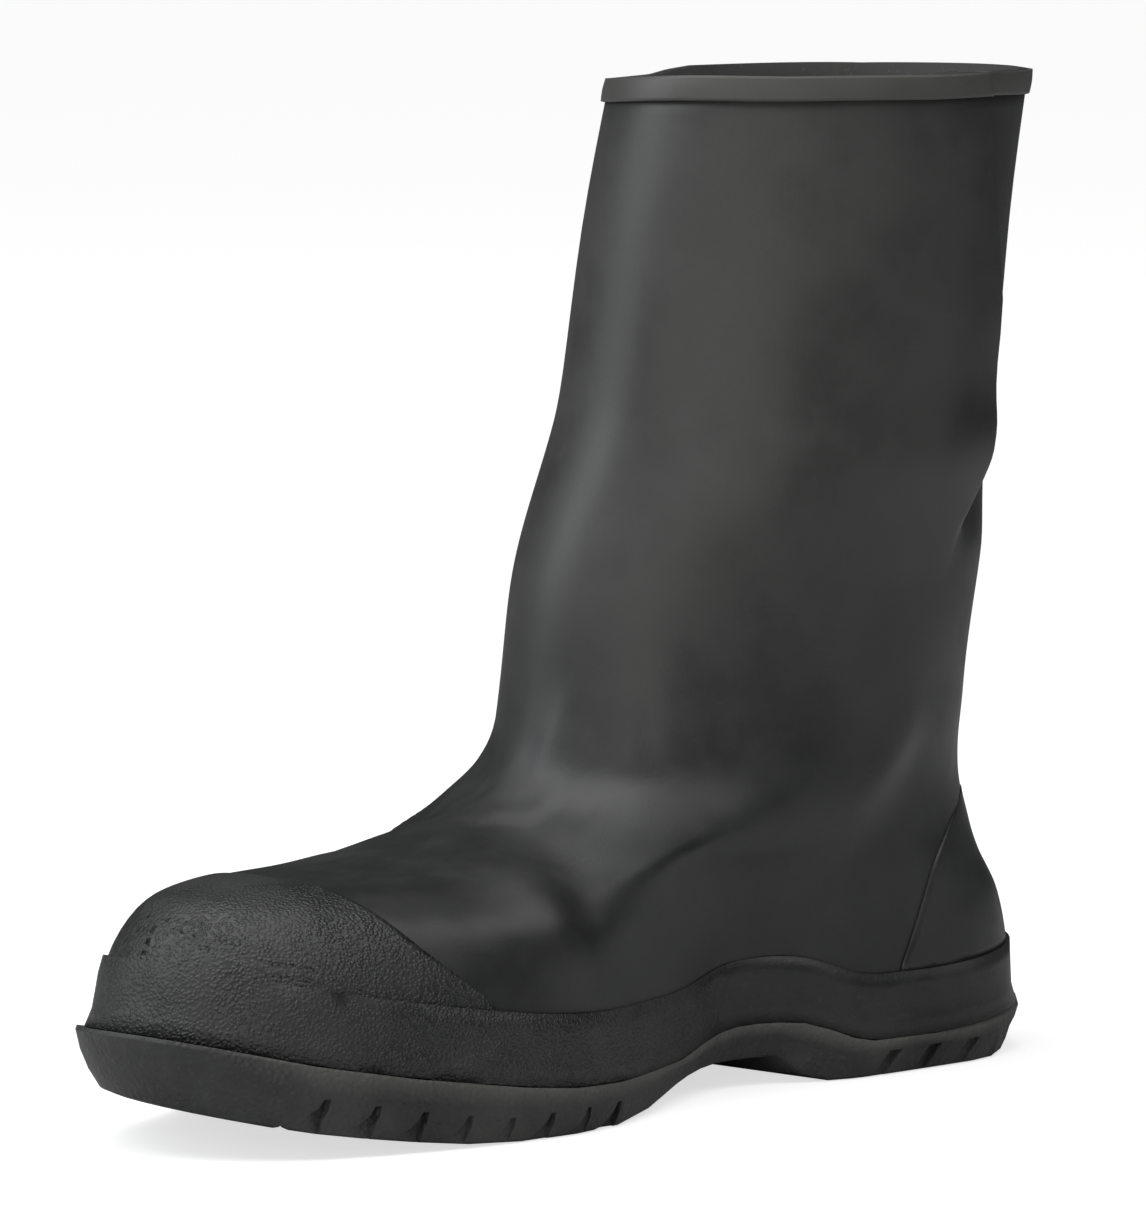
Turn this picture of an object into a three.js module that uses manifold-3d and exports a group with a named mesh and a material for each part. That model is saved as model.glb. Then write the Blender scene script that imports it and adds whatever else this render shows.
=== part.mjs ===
// Right rubber overshoe: a pull-on boot of thin moulded rubber with a folded gusset.
// Millimetres. X runs from the heel to the toe, +Y is the inner side, Z is up.
import * as THREE from 'three';
import { mergeVertices } from 'three/addons/utils/BufferGeometryUtils.js';
import Module from 'manifold-3d';

const wasm = await Module();
wasm.setup();

// Foot of the boot, measured along the feather line where upper and sole meet
const footLength = 320;
const heelWidth = 83;
const waistWidth = 69;
const ballWidth = 117;
const toeWidth = 93;
const instepHeight = 103;
const ankleHeight = 108;
const toeSwing = 6;

// Shaft
const shaftHeight = 270.2;
const collarDip = 3.2;
const collarDipTurn = 235;
const ankleBack = 15;
const shaftLean = 27;
const ankleDepth = 154.5;
const collarDepth = 137;
const ankleWidth = 96;
const collarWidth = 93;

// Heights of the feather line over the floor
const heelSeat = 9.8;
const heelTurnUp = 4.8;
const ballSeat = 11.5;
const waistRise = 7.1;
const toeSpring = 18.9;
const toeTwist = 3.6;
const tipLift = 1.2;

// Walls, overlays and the clearance between two pieces
const wall = 2;
const fit = 0.3;
const patchFit = 0.75;
const foxingHeight = 18.5;
const foxingThickness = 1.5;
const capThickness = 1;
const patchThickness = 0.8;
const bandHeight = 6.5;
const bandThickness = 1.2;
const insoleThickness = 1.6;
const insoleMargin = 0.8;

// Sole
const rimOverhang = 1.4;
const toeOverhang = 1.6;
const heelTuck = 1.4;
const rimThickness = 1.2;
const soleUndercut = 0.8;
const soleEdge = 1.4;
const endUndercut = 3.6;
const endEdge = 6.8;
const archHeight = 7.5;
const soleSpring = 15;
const soleTwist = 0.3;
const heelBevel = 5;
const heelLength = 100;
const breastSlope = 9;
const grooveWidth = 5;
const grooveDepth = 3.2;
const grooveSideHeight = 6.6;
const grooveSideDepth = 1.6;
const grooveLand = 7;
const grooveSlant = 0.9;
const forefootPitch = 13.5;
const heelPitch = 16;

// Folded gusset: three layers of wall that overlap behind the inner ankle
const foldTurn = 62;
const foldSkew = 23;
const foldSkewFrom = 180;
const foldSpan = [42, 88];
const foldFade = [5, 40, 85, 145];
const foldOverlap = 13;
const foldGap = 1.6;
const foldFoot = 130;
const foldFull = 186;
const foldLift = 7.2;

const degree = Math.PI / 180;

// Named columns: shares of the lengths above, one row for each section of the foot.
// blend goes from the widths of the foot (0) to those of the ankle (1); back and front are
// shares of footLength; rise shares run from the top of the foxing to ankle and instep.
const footColumns = ['foxing', 'blend', 'back', 'backRise', 'front', 'frontRise',
  'heelRound', 'toeRound', 'swing', 'follow'];
const footRows = [
  [0, 0.00, 0.000, 0.000, 1.000, 0.000, 0.14, 0.22, 1.0, 1.0],
  [1, 0.00, 0.003, -0.020, 0.987, 0.012, 0.14, 0.22, 1.0, 1.0],
  [1, 0.15, 0.012, 0.167, 0.954, 0.325, 0.16, 0.26, 0.8, 0.5],
  [1, 0.45, 0.033, 0.320, 0.885, 0.470, 0.20, 0.34, 0.7, 0.2],
  [1, 0.75, 0.042, 0.460, 0.794, 0.482, 0.26, 0.42, 0.5, 0.0],
  [1, 0.90, 0.050, 0.590, 0.682, 0.536, 0.33, 0.46, 0.2, 0.0],
  [1, 1.00, 0.053, 0.744, 0.576, 0.664, 0.40, 0.48, 0.0, 0.0],
  [1, 1.00, 0.051, 0.872, 0.533, 0.795, 0.44, 0.49, 0.0, 0.0],
];

// Half widths at four stations along each section, as shares of the width there
const stations = [0, 0.26, 0.385, 0.66, 0.88, 1];
const widthColumns = ['innerHeel', 'innerWaist', 'innerBall', 'innerToe',
  'outerHeel', 'outerWaist', 'outerBall', 'outerToe'];
const widthRows = [
  [0.500, 0.442, 0.500, 0.527, 0.494, 0.551, 0.496, 0.473],
  [0.506, 0.478, 0.500, 0.527, 0.494, 0.580, 0.496, 0.473],
  [0.494, 0.520, 0.501, 0.492, 0.482, 0.574, 0.492, 0.438],
  [0.474, 0.517, 0.474, 0.434, 0.463, 0.542, 0.483, 0.392],
  [0.454, 0.505, 0.474, 0.430, 0.443, 0.517, 0.474, 0.398],
  [0.453, 0.505, 0.490, 0.460, 0.443, 0.505, 0.490, 0.440],
  [0.460, 0.500, 0.500, 0.490, 0.460, 0.500, 0.500, 0.480],
  [0.480, 0.500, 0.500, 0.495, 0.480, 0.500, 0.500, 0.490],
];

// Sections of the shaft: rise to the collar, lean to the back, taper of depth and width
const shaftColumns = ['rise', 'lean', 'depth', 'width'];
const shaftRows = [
  [0.000, 0.00, 0.13, 0.0],
  [0.215, 0.28, 0.00, 0.0],
  [0.486, 0.53, 0.71, 0.0],
  [0.748, 0.70, 0.83, 0.5],
  [1.000, 1.00, 1.00, 1.0],
];

// Edges of the two patches: section number and turn from the back, in degrees
const capEdge = [[1, 119.5], [1.66, 130], [2.34, 140], [2.78, 148.5], [3.24, 158], [3.7, 172]];
const patchEdge = [[1, 56], [1.76, 53], [2.78, 49.5], [3.56, 45.5], [4.34, 38.5], [4.7, 31]];

const mix = (a, b, share) => a + (b - a) * share;
const clamp = (x, low = 0, high = 1) => Math.min(high, Math.max(low, x));

function smooth(from, to, x) {
  const t = clamp((x - from) / (to - from));
  return t * t * (3 - 2 * t);
}

function named(columns, row) {
  return Object.fromEntries(columns.map((column, i) => [column, row[i]]));
}

function along(table, at) {
  let i = 0;
  while (i < table.length - 2 && at > table[i + 1][0]) i += 1;
  const [a, b] = [table[i], table[i + 1]];
  return mix(a[1], b[1], clamp((at - a[0]) / (b[0] - a[0])));
}

// Smooth curve through values at the stations, level at each turning point
function throughStations(values, t) {
  const last = stations.length - 1;
  const slopes = stations.map((_, i) => {
    if (i === 0 || i === last) return 0;
    const before = (values[i] - values[i - 1]) / (stations[i] - stations[i - 1]);
    const after = (values[i + 1] - values[i]) / (stations[i + 1] - stations[i]);
    return before * after > 0 ? (2 * before * after) / (before + after) : 0;
  });
  let i = 0;
  while (i < last - 1 && t > stations[i + 1]) i += 1;
  const step = stations[i + 1] - stations[i];
  const s = clamp((t - stations[i]) / step);
  const rest = 1 - s;
  return values[i] * (1 + 2 * s) * rest * rest
    + values[i + 1] * s * s * (3 - 2 * s)
    + slopes[i] * step * s * rest * rest
    - slopes[i + 1] * step * s * s * rest;
}

// Height of the feather line over the floor; the waist rises more on the inner side and
// the toe on the outer side
function featherHeight(x, y) {
  const s = x / footLength;
  const inner = clamp(0.5 + y / waistWidth);
  const seat = mix(heelSeat, ballSeat, smooth(0.3, 0.6, s));
  const away = Math.abs(s - 0.352) / (s < 0.352 ? 0.064 : 0.097);
  const waist = waistRise * mix(0.45, 1, inner) * Math.exp(-(away ** 3));
  const turnUp = heelTurnUp * clamp((0.18 - s) / 0.18, 0, 1.1) ** 1.3;
  const tip = tipLift * smooth(0.9, 1.01, s);
  const spring = toeSpring * clamp((s - 0.62) / 0.38, 0, 1.1) ** 1.45 + tip;
  const twist = toeTwist * smooth(0, ballWidth / 2, -y) * smooth(0.76, 0.88, s);
  return seat + turnUp + waist + spring + twist;
}

// Height of the tread: flat at heel and ball, arched between them, sprung at the toe, and
// more so at the toe's outer side
function treadHeight(x, y) {
  const s = x / footLength;
  const spring = soleSpring * (1 - (soleTwist * y) / (ballWidth / 2));
  const bevel = heelBevel * clamp((0.07 - s) / 0.07, 0, 1.1) ** 1.5;
  const arch = smooth(heelLength, heelLength + breastSlope, x) * (1 - smooth(0.4, 0.6, s));
  return bevel + archHeight * arch + spring * clamp((s - 0.745) / 0.255, 0, 1.1) ** 1.2;
}

// Lengths of every section, in millimetres
const sections = footRows.map((values, i) => {
  const row = named(footColumns, values);
  const share = named(widthColumns, widthRows[i]);
  const width = (foot) => mix(foot, ankleWidth, row.blend);
  const foxingTop = ballSeat + foxingHeight * row.foxing;
  return {
    back: row.back * footLength,
    front: row.front * footLength,
    backUp: foxingTop + row.backRise * (ankleHeight - ballSeat - foxingHeight),
    frontUp: foxingTop + row.frontRise * (instepHeight - ballSeat - foxingHeight),
    inner: [share.innerHeel * width(heelWidth), share.innerWaist * width(waistWidth),
      share.innerBall * width(ballWidth), share.innerToe * width(toeWidth)],
    outer: [share.outerHeel * width(heelWidth), share.outerWaist * width(waistWidth),
      share.outerBall * width(ballWidth), share.outerToe * width(toeWidth)],
    heelRound: row.heelRound,
    toeRound: row.toeRound,
    swing: row.swing * toeSwing,
    follow: row.follow,
    dip: 0,
  };
});
for (const values of shaftRows) {
  const row = named(shaftColumns, values);
  const half = mix(ankleWidth, collarWidth, row.width) / 2;
  const back = ankleBack - row.lean * shaftLean;
  sections.push({
    back,
    front: back + mix(ankleDepth, collarDepth, row.depth),
    backUp: mix(ankleHeight, shaftHeight, row.rise),
    frontUp: mix(instepHeight, shaftHeight, row.rise),
    inner: [half, half, half, half],
    outer: [half, half, half, half],
    heelRound: 0.5,
    toeRound: 0.5,
    swing: 0,
    follow: 0,
    dip: row.rise === 1 ? collarDip : 0,
  });
}
const collar = sections.length - 1;
const foxingTopRow = 1;

// One point of a section: turn 0 is the back, 180 degrees the front, by way of the inner side
function sectionPoint(section, turn) {
  const t = (1 - Math.cos(turn)) / 2;
  const inner = Math.sin(turn) >= 0;
  const half = inner ? section.inner : section.outer;
  let width = throughStations([half[0], half[0], half[1], half[2], half[3], half[3]], t);
  const heel = 1 - t / section.heelRound;
  const toe = (t - 1 + section.toeRound) / section.toeRound;
  if (heel > 0) width *= Math.sqrt(Math.max(0, 1 - heel * heel));
  if (toe > 0) width *= Math.sqrt(Math.max(0, 1 - toe * toe));
  const x = mix(section.back, section.front, t);
  const y = (inner ? width : -width) + section.swing * smooth(0.55, 1, t);
  const lift = (featherHeight(x, y) - ballSeat) * section.follow;
  const dip = section.dip * Math.max(0, Math.cos(turn - collarDipTurn * degree)) ** 2;
  return new THREE.Vector3(x, y, mix(section.backUp, section.frontUp, t) + lift - dip);
}

// Outer face of the upper: a smooth curve up through the sections
function skin(turn, level) {
  const k = clamp(Math.floor(level), 0, collar - 1);
  const t = level - k;
  const at = (i) => sectionPoint(sections[i], turn);
  const [b, c] = [at(k), at(k + 1)];
  const a = k > 0 ? at(k - 1) : b.clone().multiplyScalar(2).sub(c);
  const d = k < collar - 1 ? at(k + 2) : c.clone().multiplyScalar(2).sub(b);
  const point = new THREE.Vector3();
  for (const axis of ['x', 'y', 'z']) {
    point[axis] = b[axis] + 0.5 * t * (c[axis] - a[axis]
      + t * (2 * a[axis] - 5 * b[axis] + 4 * c[axis] - d[axis]
      + t * (3 * (b[axis] - c[axis]) + d[axis] - a[axis])));
  }
  return point;
}

function normalOf(round, up) {
  return new THREE.Vector3().crossVectors(up, round).normalize();
}

function skinNormal(turn, level) {
  const step = 0.01;
  const round = skin(turn + step, level).sub(skin(turn - step, level));
  const up = skin(turn, Math.min(level + step, collar)).sub(skin(turn, Math.max(level - step, 0)));
  return normalOf(round, up);
}

// Level that lies a distance above another one, measured up the skin
function levelAbove(turn, level, distance) {
  const step = 0.05;
  const length = skin(turn, level + step).distanceTo(skin(turn, level));
  return level + (distance * step) / length;
}

// Turns of the upper's meridians, the same on both sides, closer where the gusset folds
const [foldStart, foldEnd] = foldSpan.map((turn) => turn * degree);
const fadeTurns = foldFade.map((turn) => turn * degree);
const foldSpread = 20;
const meridians = roundTurns();

// Section through the gusset, from the back to the front, as distances along the shaft from
// the outer fold and out from the skin. The wall turns back on itself by two bends joined by
// a middle layer; folded goes from a slight step (near 0) to three flat layers (1).
function foldSection(folded) {
  const bend = Math.PI * folded;
  const relaxed = mix(0.35, 1, folded) / folded;
  const outerBend = (wall + foldGap / 2) * relaxed;
  const innerBend = (bandThickness + 1.7 * fit) * relaxed;
  const middle = mix(2, foldOverlap, smooth(0.45, 1, folded));
  const step = (outerBend + innerBend) * (1 - Math.cos(bend)) + middle * Math.sin(bend);
  const fullStep = 2 * (wall + foldGap / 2 + bandThickness + 1.7 * fit);
  const outer = (foldLift * step) / fullStep;
  const path = [1.2, 0.9, 0.4].map((share) => [share * foldSpread, outer]);
  const bendSteps = 4;
  for (let i = 0; i <= bendSteps; i += 1) {
    const angle = (bend * i) / bendSteps;
    path.push([-outerBend * Math.sin(angle), outer - outerBend * (1 - Math.cos(angle))]);
  }
  const [fromAlong, fromOut] = path[path.length - 1];
  const onMiddle = (share) => (
    [fromAlong - share * middle * Math.cos(bend), fromOut - share * middle * Math.sin(bend)]
  );
  path.push(onMiddle(0.5));
  const [turnAlong, turnOut] = onMiddle(1);
  for (let i = bendSteps; i >= 0; i -= 1) {
    const angle = (bend * i) / bendSteps;
    path.push([
      turnAlong - innerBend * (Math.sin(bend) - Math.sin(angle)),
      turnOut + innerBend * (Math.cos(bend) - Math.cos(angle)),
    ]);
  }
  const [endAlong, inner] = path[path.length - 1];
  for (const share of [0.25, 0.5, 0.75, 1]) path.push([mix(endAlong, -foldSpread, share), inner]);
  return path.reverse();
}

function roundTurns() {
  const half = [];
  const backSteps = 7;
  const frontSteps = 13;
  const foldSteps = foldSection(1).length - 1;
  for (let i = 0; i < backSteps; i += 1) half.push((foldStart * i) / backSteps);
  for (let i = 0; i <= foldSteps; i += 1) half.push(mix(foldStart, foldEnd, i / foldSteps));
  for (let i = 1; i < frontSteps; i += 1) half.push(mix(foldEnd, Math.PI, i / frontSteps));
  return [...half, Math.PI, ...half.slice(1).reverse().map((turn) => 2 * Math.PI - turn)];
}

// Turn of a meridian on the folded shaft: those past either end of the fold close up
function pushedTurn(flat, foldedTurn) {
  if (flat <= foldStart) return (foldedTurn * flat) / foldStart;
  if (flat < foldEnd) return foldedTurn;
  if (flat > Math.PI) return flat;
  return Math.PI - ((Math.PI - foldedTurn) * (Math.PI - flat)) / (Math.PI - foldEnd);
}

// Outer face along the meridians, with the gusset folded under the inner wall
function wallPoint(i, level) {
  const count = meridians.length;
  const column = ((i % count) + count) % count;
  const flat = meridians[column];
  const height = skin(foldTurn * degree, level).z;
  const skew = clamp((height - foldSkewFrom) / (shaftHeight - foldSkewFrom)) ** 1.5;
  const edge = (foldTurn + foldSkew * skew) * degree;
  const folded = smooth(foldFoot, foldFull, height);
  if (folded < 0.001) return skin(flat, level);
  const section = foldSection(folded);
  const bent = smooth(0, 0.25, folded);
  const first = meridians.indexOf(foldStart);
  const place = clamp(column - first, 0, section.length - 1);
  const perRadian = skin(edge + 0.01, level).distanceTo(skin(edge - 0.01, level)) / 0.02;
  const foldedTurn = edge + section[place][0] / perRadian;
  const turn = mix(flat, pushedTurn(flat, foldedTurn), bent);
  const [rise, full, fall, end] = fadeTurns;
  const fade = smooth(rise, full, turn) * (1 - smooth(fall, end, turn));
  const out = section[place][1] * bent * fade;
  return skin(turn, level).addScaledVector(skinNormal(turn, level), out);
}

function wallNormal(i, level) {
  const step = 0.02;
  const round = wallPoint(i + 1, level).sub(wallPoint(i - 1, level));
  const high = wallPoint(i, Math.min(level + step, collar));
  return normalOf(round, high.sub(wallPoint(i, Math.max(level - step, 0))));
}

function mesh(name, geometry, color, roughness) {
  const material = new THREE.MeshStandardMaterial({ color, roughness, metalness: 0 });
  const made = new THREE.Mesh(geometry, material);
  made.name = name;
  return made;
}

function facets(points, triangles) {
  const geometry = new THREE.BufferGeometry();
  const position = points.flatMap((p) => [p.x, p.y, p.z]);
  geometry.setAttribute('position', new THREE.Float32BufferAttribute(position, 3));
  geometry.setIndex(triangles);
  return geometry;
}

// Closed solid between two faces of a grid of places. place(i, j, layer) gives the point in
// column i and row j of the inner (0) or outer (1) face; closed joins the last column to the first.
function shell(columns, rows, closed, place) {
  const points = [];
  const triangles = [];
  const at = (i, j, layer) => ((i % columns) * rows + j) * 2 + layer;
  for (let i = 0; i < columns; i += 1) {
    for (let j = 0; j < rows; j += 1) points.push(place(i, j, 0), place(i, j, 1));
  }
  const quad = (a, b, c, d) => triangles.push(a, b, c, a, c, d);
  const spans = closed ? columns : columns - 1;
  for (let i = 0; i < spans; i += 1) {
    for (let j = 0; j < rows - 1; j += 1) {
      quad(at(i, j, 1), at(i, j + 1, 1), at(i + 1, j + 1, 1), at(i + 1, j, 1));
      quad(at(i, j, 0), at(i + 1, j, 0), at(i + 1, j + 1, 0), at(i, j + 1, 0));
    }
    quad(at(i, 0, 0), at(i, 0, 1), at(i + 1, 0, 1), at(i + 1, 0, 0));
    quad(at(i, rows - 1, 1), at(i, rows - 1, 0), at(i + 1, rows - 1, 0), at(i + 1, rows - 1, 1));
  }
  for (let j = 0; j < rows - 1 && !closed; j += 1) {
    quad(at(0, j, 0), at(0, j + 1, 0), at(0, j + 1, 1), at(0, j, 1));
    const end = columns - 1;
    quad(at(end, j, 1), at(end, j + 1, 1), at(end, j + 1, 0), at(end, j, 0));
  }
  return facets(points, triangles);
}

// Point of the wall set out from its face; the lowest row ends on the feather line
function setOut(i, level, out) {
  const point = wallPoint(i, level).addScaledVector(wallNormal(i, level), out);
  if (level === 0) point.z = featherHeight(point.x, point.y);
  return point;
}

// Vamp, quarters and shaft in one hollow piece, open at the collar and underneath
function makeUpper() {
  const foot = [0, foxingTopRow, 2, 2.5, 3, 3.5, 4, 5, 5.5, 6, 6.6, 7.2, 8];
  const levels = [...foot, 8.7, 9, 9.25, 9.5, 9.75, 10, 11, collar];
  return shell(meridians.length, levels.length, true, (i, j, layer) => (
    setOut(i, levels[j], layer ? 0 : -wall)
  ));
}

// Band round the foot over the feather line, thinned at its top edge
function makeFoxing() {
  const rows = [[0, 1], [foxingTopRow, 0.7]];
  return shell(meridians.length, rows.length, true, (i, j, layer) => {
    const [level, full] = rows[j];
    return setOut(i, level, fit + foxingThickness * full * layer);
  });
}

// Patch on the skin that narrows upwards, from the foxing to the last level of its edge
function makePatch(edge, columns, rows, thickness, front) {
  const top = edge[edge.length - 1][0];
  return shell(columns, rows, false, (i, j, layer) => {
    const level = mix(foxingTopRow, top, j / (rows - 1));
    const side = along(edge, level) * degree;
    const share = i / (columns - 1);
    const turn = front ? mix(side, 2 * Math.PI - side, share) : mix(-side, side, share);
    const raised = j === 0 ? levelAbove(turn, level, fit) : level;
    const out = patchFit + thickness * layer;
    return skin(turn, raised).addScaledVector(skinNormal(turn, raised), out);
  });
}

// Strip round the collar that follows the folds of the gusset, rounded in section
function makeBand() {
  const profile = [[0, 0.7], [0.5, 1], [1, 0.7]];
  const low = collar - bandHeight / (skin(0, collar).z - skin(0, collar - 1).z);
  return shell(meridians.length, profile.length, true, (i, j, layer) => {
    const [share, full] = profile[j];
    const level = mix(low, collar, share);
    return setOut(i, level, fit + bandThickness * full * layer);
  });
}

// Outline of the foot at the feather line, set out along its sides and round its two ends,
// and drawn in again at the back by a tuck
function footOutline(sideOut, endOut = sideOut, tuck = 0) {
  return meridians.map((turn) => {
    const edge = skin(turn, 0);
    const round = skin(turn + 0.01, 0).sub(skin(turn - 0.01, 0));
    const length = Math.hypot(round.x, round.y);
    const set = mix(sideOut, endOut, smooth(0.8, 0.97, Math.abs(Math.cos(turn))));
    const out = set - tuck * smooth(0.5, 0.95, Math.cos(turn));
    return new THREE.Vector2(
      edge.x - (round.y / length) * out,
      edge.y + (round.x / length) * out,
    );
  });
}

// Closed solid of stacked outlines with a level row of faces across its bottom and its top.
// Each ring is { outline, height(x, y) }.
function stack(rings, across) {
  const count = meridians.length;
  const middle = count / 2;
  const points = [];
  const triangles = [];
  for (const { outline, height } of rings) {
    for (const p of outline) points.push(new THREE.Vector3(p.x, p.y, height(p.x, p.y)));
  }
  const quad = (a, b, c, d) => triangles.push(a, b, c, a, c, d);
  for (let ring = 0; ring < rings.length - 1; ring += 1) {
    for (let i = 0; i < count; i += 1) {
      const next = (i + 1) % count;
      quad(ring * count + i, (ring + 1) * count + i, (ring + 1) * count + next, ring * count + next);
    }
  }
  for (const [ring, faceUp] of [[0, false], [rings.length - 1, true]]) {
    const { outline, height } = rings[ring];
    const chord = (i) => {
      const ends = [ring * count + i, ring * count + count - i];
      if (i === 0 || i === middle) return [ring * count + i];
      const line = [ends[0]];
      for (let k = 1; k < across; k += 1) {
        const p = outline[i].clone().lerp(outline[count - i], k / across);
        line.push(points.length);
        points.push(new THREE.Vector3(p.x, p.y, height(p.x, p.y)));
      }
      return [...line, ends[1]];
    };
    let before = chord(0);
    for (let i = 1; i <= middle; i += 1) {
      const line = chord(i);
      for (let k = 0; k < across; k += 1) {
        const a = before[Math.min(k, before.length - 1)];
        const b = before[Math.min(k + 1, before.length - 1)];
        const c = line[Math.min(k + 1, line.length - 1)];
        const d = line[Math.min(k, line.length - 1)];
        for (const [p, q, r] of [[a, d, c], [a, c, b]]) {
          if (p === q || q === r || r === p) continue;
          triangles.push(...(faceUp ? [p, r, q] : [p, q, r]));
        }
      }
      before = line;
    }
  }
  return facets(points, triangles);
}

function toSolid(geometry) {
  const bare = geometry.clone();
  bare.deleteAttribute('normal');
  bare.deleteAttribute('uv');
  const merged = mergeVertices(bare, 1e-4);
  return new wasm.Manifold(new wasm.Mesh({
    numProp: 3,
    vertProperties: new Float32Array(merged.attributes.position.array),
    triVerts: new Uint32Array(merged.index.array),
  }));
}

function fromSolid(solid) {
  const { vertProperties, triVerts, numProp } = solid.getMesh();
  const geometry = new THREE.BufferGeometry();
  const count = vertProperties.length / numProp;
  const position = new Float32Array(count * 3);
  for (let i = 0; i < count; i += 1) {
    for (let k = 0; k < 3; k += 1) position[3 * i + k] = vertProperties[numProp * i + k];
  }
  geometry.setAttribute('position', new THREE.BufferAttribute(position, 3));
  geometry.setIndex(Array.from(triVerts));
  return geometry;
}

// Prism of a flat shape of [across, up] points, set into the sole by a matrix
function prism(points, depth, matrix) {
  const shape = new THREE.Shape(points.map(([across, up]) => new THREE.Vector2(across, up)));
  const solid = new THREE.ExtrudeGeometry(shape, { depth, bevelEnabled: false });
  return toSolid(solid.applyMatrix4(matrix));
}

// Groove across the tread at x, with the given side view of [forward, up] points. It stops
// short of both sides of the sole, and a shallow recess in each side carries it on upwards.
function makeGroove(x, innerEdge, outerEdge, sideView) {
  const past = 8;
  const floor = treadHeight(x, 0);
  const below = floor - grooveDepth;
  const height = floor + grooveSideHeight;
  const recess = soleUndercut + grooveSideDepth;
  const reach = heelPitch;
  const across = [
    [outerEdge - past, floor - past],
    [innerEdge + past, floor - past],
    [innerEdge + past, height],
    [innerEdge - recess, height],
    [innerEdge - recess, below],
    [innerEdge - grooveLand, below],
    [innerEdge - grooveLand, floor + grooveDepth],
    [outerEdge + grooveLand, floor + grooveDepth],
    [outerEdge + grooveLand, below],
    [outerEdge + recess, below],
    [outerEdge + recess, height],
    [outerEdge - past, height],
  ];
  // One prism runs along X and shows Y, Z; the other runs back along Y and shows X, Z
  const lengthwise = new THREE.Matrix4().set(
    0, 0, 1, x - reach,
    1, 0, 0, 0,
    0, 1, 0, 0,
    0, 0, 0, 1,
  );
  const crosswise = new THREE.Matrix4().set(
    1, 0, 0, x,
    0, 0, -1, innerEdge + past,
    0, 1, 0, floor,
    0, 0, 0, 1,
  );
  const room = prism(across, 2 * reach, lengthwise);
  const cut = prism(sideView, innerEdge - outerEdge + 2 * past, crosswise);
  return room.intersect(cut);
}

// Straight slanted slots under the heel
function heelGrooveView() {
  const half = grooveWidth / 2;
  const [low, high] = [-3, 12];
  return [[-half, low], [half, low], [half, high], [-half, high]]
    .map(([forward, up]) => [forward - grooveSlant * up, up]);
}

// Hooked scallops under the forefoot, as shares of their pitch and of their height at the side
function forefootGrooveView() {
  return [
    [-0.12, -0.3], [0.5, -0.3], [0.5, 0], [0.33, 0.12], [0.13, 0.36], [-0.06, 0.7], [-0.16, 1.05],
    [-0.28, 1.05], [-0.24, 0.55], [-0.15, 0.2],
  ].map(([forward, up]) => [forward * forefootPitch, up * grooveSideHeight]);
}

function makeOutsole() {
  const rim = fit + foxingThickness + rimOverhang;
  const top = (x, y) => featherHeight(x, y) - fit;
  const side = rim - soleUndercut;
  const tip = rim + toeOverhang;
  const end = tip - endUndercut;
  const profile = [
    [side - soleEdge, end - endEdge, treadHeight],
    [side - 0.4 * soleEdge, end - 0.5 * endEdge, (x, y) => treadHeight(x, y) + 0.5 * soleEdge],
    [side, end, (x, y) => mix(treadHeight(x, y), top(x, y), 0.32)],
    [mix(rim, side, 0.3), mix(tip, end, 0.35), (x, y) => mix(treadHeight(x, y), top(x, y), 0.62)],
    [rim, tip, (x, y) => top(x, y) - rimThickness],
    [rim - 0.4, tip - 0.4, top],
  ];
  const rings = profile.map(([sideOut, endOut, height]) => (
    { outline: footOutline(sideOut, endOut, heelTuck), height }
  ));
  let solid = toSolid(stack(rings, 4));
  const edgeAt = (x, inner) => {
    const half = footOutline(rim).filter((p) => (p.y > 0) === inner);
    const near = half.reduce((a, b) => (Math.abs(b.x - x) < Math.abs(a.x - x) ? b : a));
    return near.y;
  };
  const grooves = (from, to, pitch, sideView) => {
    for (let x = from; x < to; x += pitch) {
      solid = solid.subtract(makeGroove(x, edgeAt(x, true), edgeAt(x, false), sideView));
    }
  };
  grooves(0.1 * footLength, heelLength - heelPitch / 2, heelPitch, heelGrooveView());
  grooves(0.575 * footLength, 0.93 * footLength, forefootPitch, forefootGrooveView());
  return fromSolid(solid);
}

function makeInsole() {
  const outline = footOutline(-wall - insoleMargin);
  return stack([
    { outline, height: featherHeight },
    { outline, height: (x, y) => featherHeight(x, y) + insoleThickness },
  ], 2);
}

const overshoe = new THREE.Group();
overshoe.add(
  mesh('outsole', makeOutsole(), 0x1b1c1d, 0.62),
  mesh('insole', makeInsole(), 0x232425, 0.85),
  mesh('upper', makeUpper(), 0x1a1b1c, 0.45),
  mesh('foxing', makeFoxing(), 0x1d1e1f, 0.55),
  mesh('toe_cap', makePatch(capEdge, 21, 9, capThickness, true), 0x1d1e1f, 0.55),
  mesh('heel_patch', makePatch(patchEdge, 19, 9, patchThickness, false), 0x1a1b1c, 0.45),
  mesh('collar_band', makeBand(), 0x1b1c1d, 0.45),
);

// The origin is on the floor under the middle of the whole boot
const box = new THREE.Box3().setFromObject(overshoe);
overshoe.position.set(-(box.min.x + box.max.x) / 2, -(box.min.y + box.max.y) / 2, -box.min.z);

export default overshoe;
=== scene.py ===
import math
import bmesh
import bpy
import numpy as np
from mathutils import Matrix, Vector
from mathutils.bvhtree import BVHTree


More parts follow.
